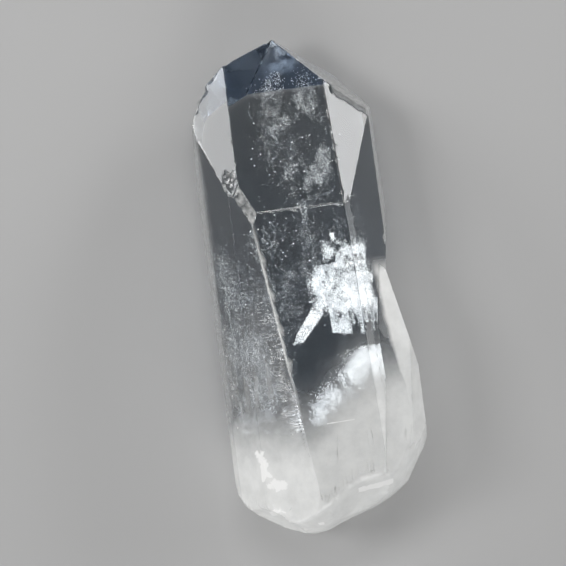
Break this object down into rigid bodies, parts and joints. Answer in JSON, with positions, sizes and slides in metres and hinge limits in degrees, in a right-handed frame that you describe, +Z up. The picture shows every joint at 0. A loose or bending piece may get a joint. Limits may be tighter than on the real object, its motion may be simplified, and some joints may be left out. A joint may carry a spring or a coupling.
{
  "type": "quartz crystal",
  "caption": "Clear pointed quartz crystal with a milky broken base and a small milky side crystal, lying on its flat back face for display.",
  "frame": {"origin": "centre of the crystal's bounding box, on the surface that it lies on", "axes": "+Y along the crystal's length towards its tip, +X across it towards the side crystal, +Z up from the flat back face that it rests on"},
  "size_m": [0.0276, 0.07, 0.0204],
  "materials": {
    "quartz": "clear quartz, glossy natural crystal faces, white veils inside and a milky base"
  },
  "bodies": {
    "root": {"quartz_crystal": "quartz"}
  },
  "joints": []
}
